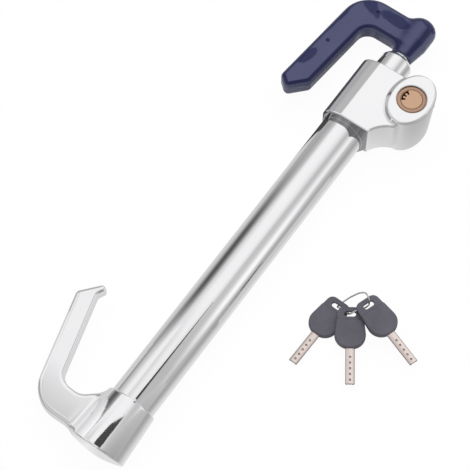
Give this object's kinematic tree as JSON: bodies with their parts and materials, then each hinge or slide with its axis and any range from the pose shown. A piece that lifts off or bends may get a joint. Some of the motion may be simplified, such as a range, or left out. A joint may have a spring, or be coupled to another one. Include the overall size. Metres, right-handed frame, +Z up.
{
  "type": "telescopic steering wheel lock",
  "caption": "Telescopic bar lock that hooks a steering wheel to a pedal, with a keyed bolt, a swivelling coated hook and loose keys on a wire ring.",
  "frame": {"origin": "middle of the whole footprint, at the level the lock and its keys lie on", "axes": "+X along the tube from the pedal end to the steering wheel end, +Y the side both hooks reach to, +Z up, the side the key goes in from"},
  "size_m": [0.3496, 0.1846, 0.0403],
  "materials": {
    "tube_chrome": "mirror-polished chrome plate on steel tube",
    "cast_chrome": "polished chrome plate on a zinc casting",
    "bush_chrome": "polished chrome plate",
    "rod_steel": "plated round bar",
    "core_steel": "plain forged steel",
    "blue_coating": "glossy navy blue dipped coat",
    "cylinder_brass": "satin copper-tinted brass",
    "hard_steel": "ground hardened steel",
    "pin_steel": "ground steel",
    "spring_steel": "oiled spring steel",
    "plug_zinc": "plain zinc",
    "black_rubber": "moulded rubber",
    "stop_nylon": "natural nylon",
    "ring_wire": "bright nickel-plated wire",
    "key_plastic": "dark grey moulded plastic",
    "key_nickel": "nickel silver with a faint pink tint"
  },
  "bodies": {
    "lock_body": {"outer_tube": "tube_chrome", "pedal_hook": "cast_chrome", "tube_buffer": "black_rubber", "tube_pins": "pin_steel", "lock_housing": "cast_chrome", "bottom_plug": "plug_zinc", "cylinder_barrel": "cylinder_brass", "cylinder_pin": "pin_steel", "bolt_spring": "spring_steel", "guide_bush": "bush_chrome"},
    "key_plug": {"cylinder_plug": "cylinder_brass", "plug_clip": "spring_steel", "tumbler_pins": "cylinder_brass"},
    "bolt": {"lock_bolt": "hard_steel"},
    "slider": {"rod_stop": "stop_nylon"},
    "wheel_hook": {"inner_rod": "rod_steel", "stop_clip": "spring_steel", "hook_core": "core_steel", "hook_coating": "blue_coating", "hook_pin": "pin_steel"},
    "keys_on_ring": {"key_ring": "ring_wire"},
    "key_1": {"key_head_1": "key_plastic", "key_blade_1": "key_nickel"},
    "key_2": {"key_head_2": "key_plastic", "key_blade_2": "key_nickel"},
    "key_3": {"key_head_3": "key_plastic", "key_blade_3": "key_nickel"}
  },
  "joints": [
    {"name": "rod_slide", "type": "slide", "parent": "lock_body", "child": "slider", "axis": [1, 0, 0], "range_m": [0, 0.225]},
    {"name": "hook_swivel", "type": "hinge", "parent": "slider", "child": "wheel_hook", "pos_m": [0.14375, 0.02626, 0.0178], "axis": [1, 0, 0], "range_deg": [-100, 100]},
    {"name": "plug_turn", "type": "hinge", "parent": "lock_body", "child": "key_plug", "pos_m": [0.11075, -0.00074, 0.0398], "axis": [0, 0, 1], "range_deg": [0, 90]},
    {"name": "bolt_slide", "type": "slide", "parent": "lock_body", "child": "bolt", "axis": [0, 1, 0], "range_m": [0, 0.0016], "deforming": ["bolt_spring"]},
    {"name": "keys_lift", "type": "slide", "parent": "lock_body", "child": "keys_on_ring", "axis": [0, 0, 1], "range_m": [0, 0.1]},
    {"name": "key_1_swing", "type": "hinge", "parent": "keys_on_ring", "child": "key_1", "pos_m": [-0.01415, -0.03294, 0.0022], "axis": [0, 0, 1], "range_deg": [-8, 8]},
    {"name": "key_2_swing", "type": "hinge", "parent": "keys_on_ring", "child": "key_2", "pos_m": [-0.01534, -0.04285, 0.0068], "axis": [0, 0, 1], "range_deg": [-8, 8]},
    {"name": "key_3_swing", "type": "hinge", "parent": "keys_on_ring", "child": "key_3", "pos_m": [-0.00604, -0.04953, 0.0114], "axis": [0, 0, 1], "range_deg": [-8, 8]}
  ],
  "couplings": [
    {"joint": "plug_turn", "follows": "bolt_slide", "rad_per_m": 981.74}
  ]
}
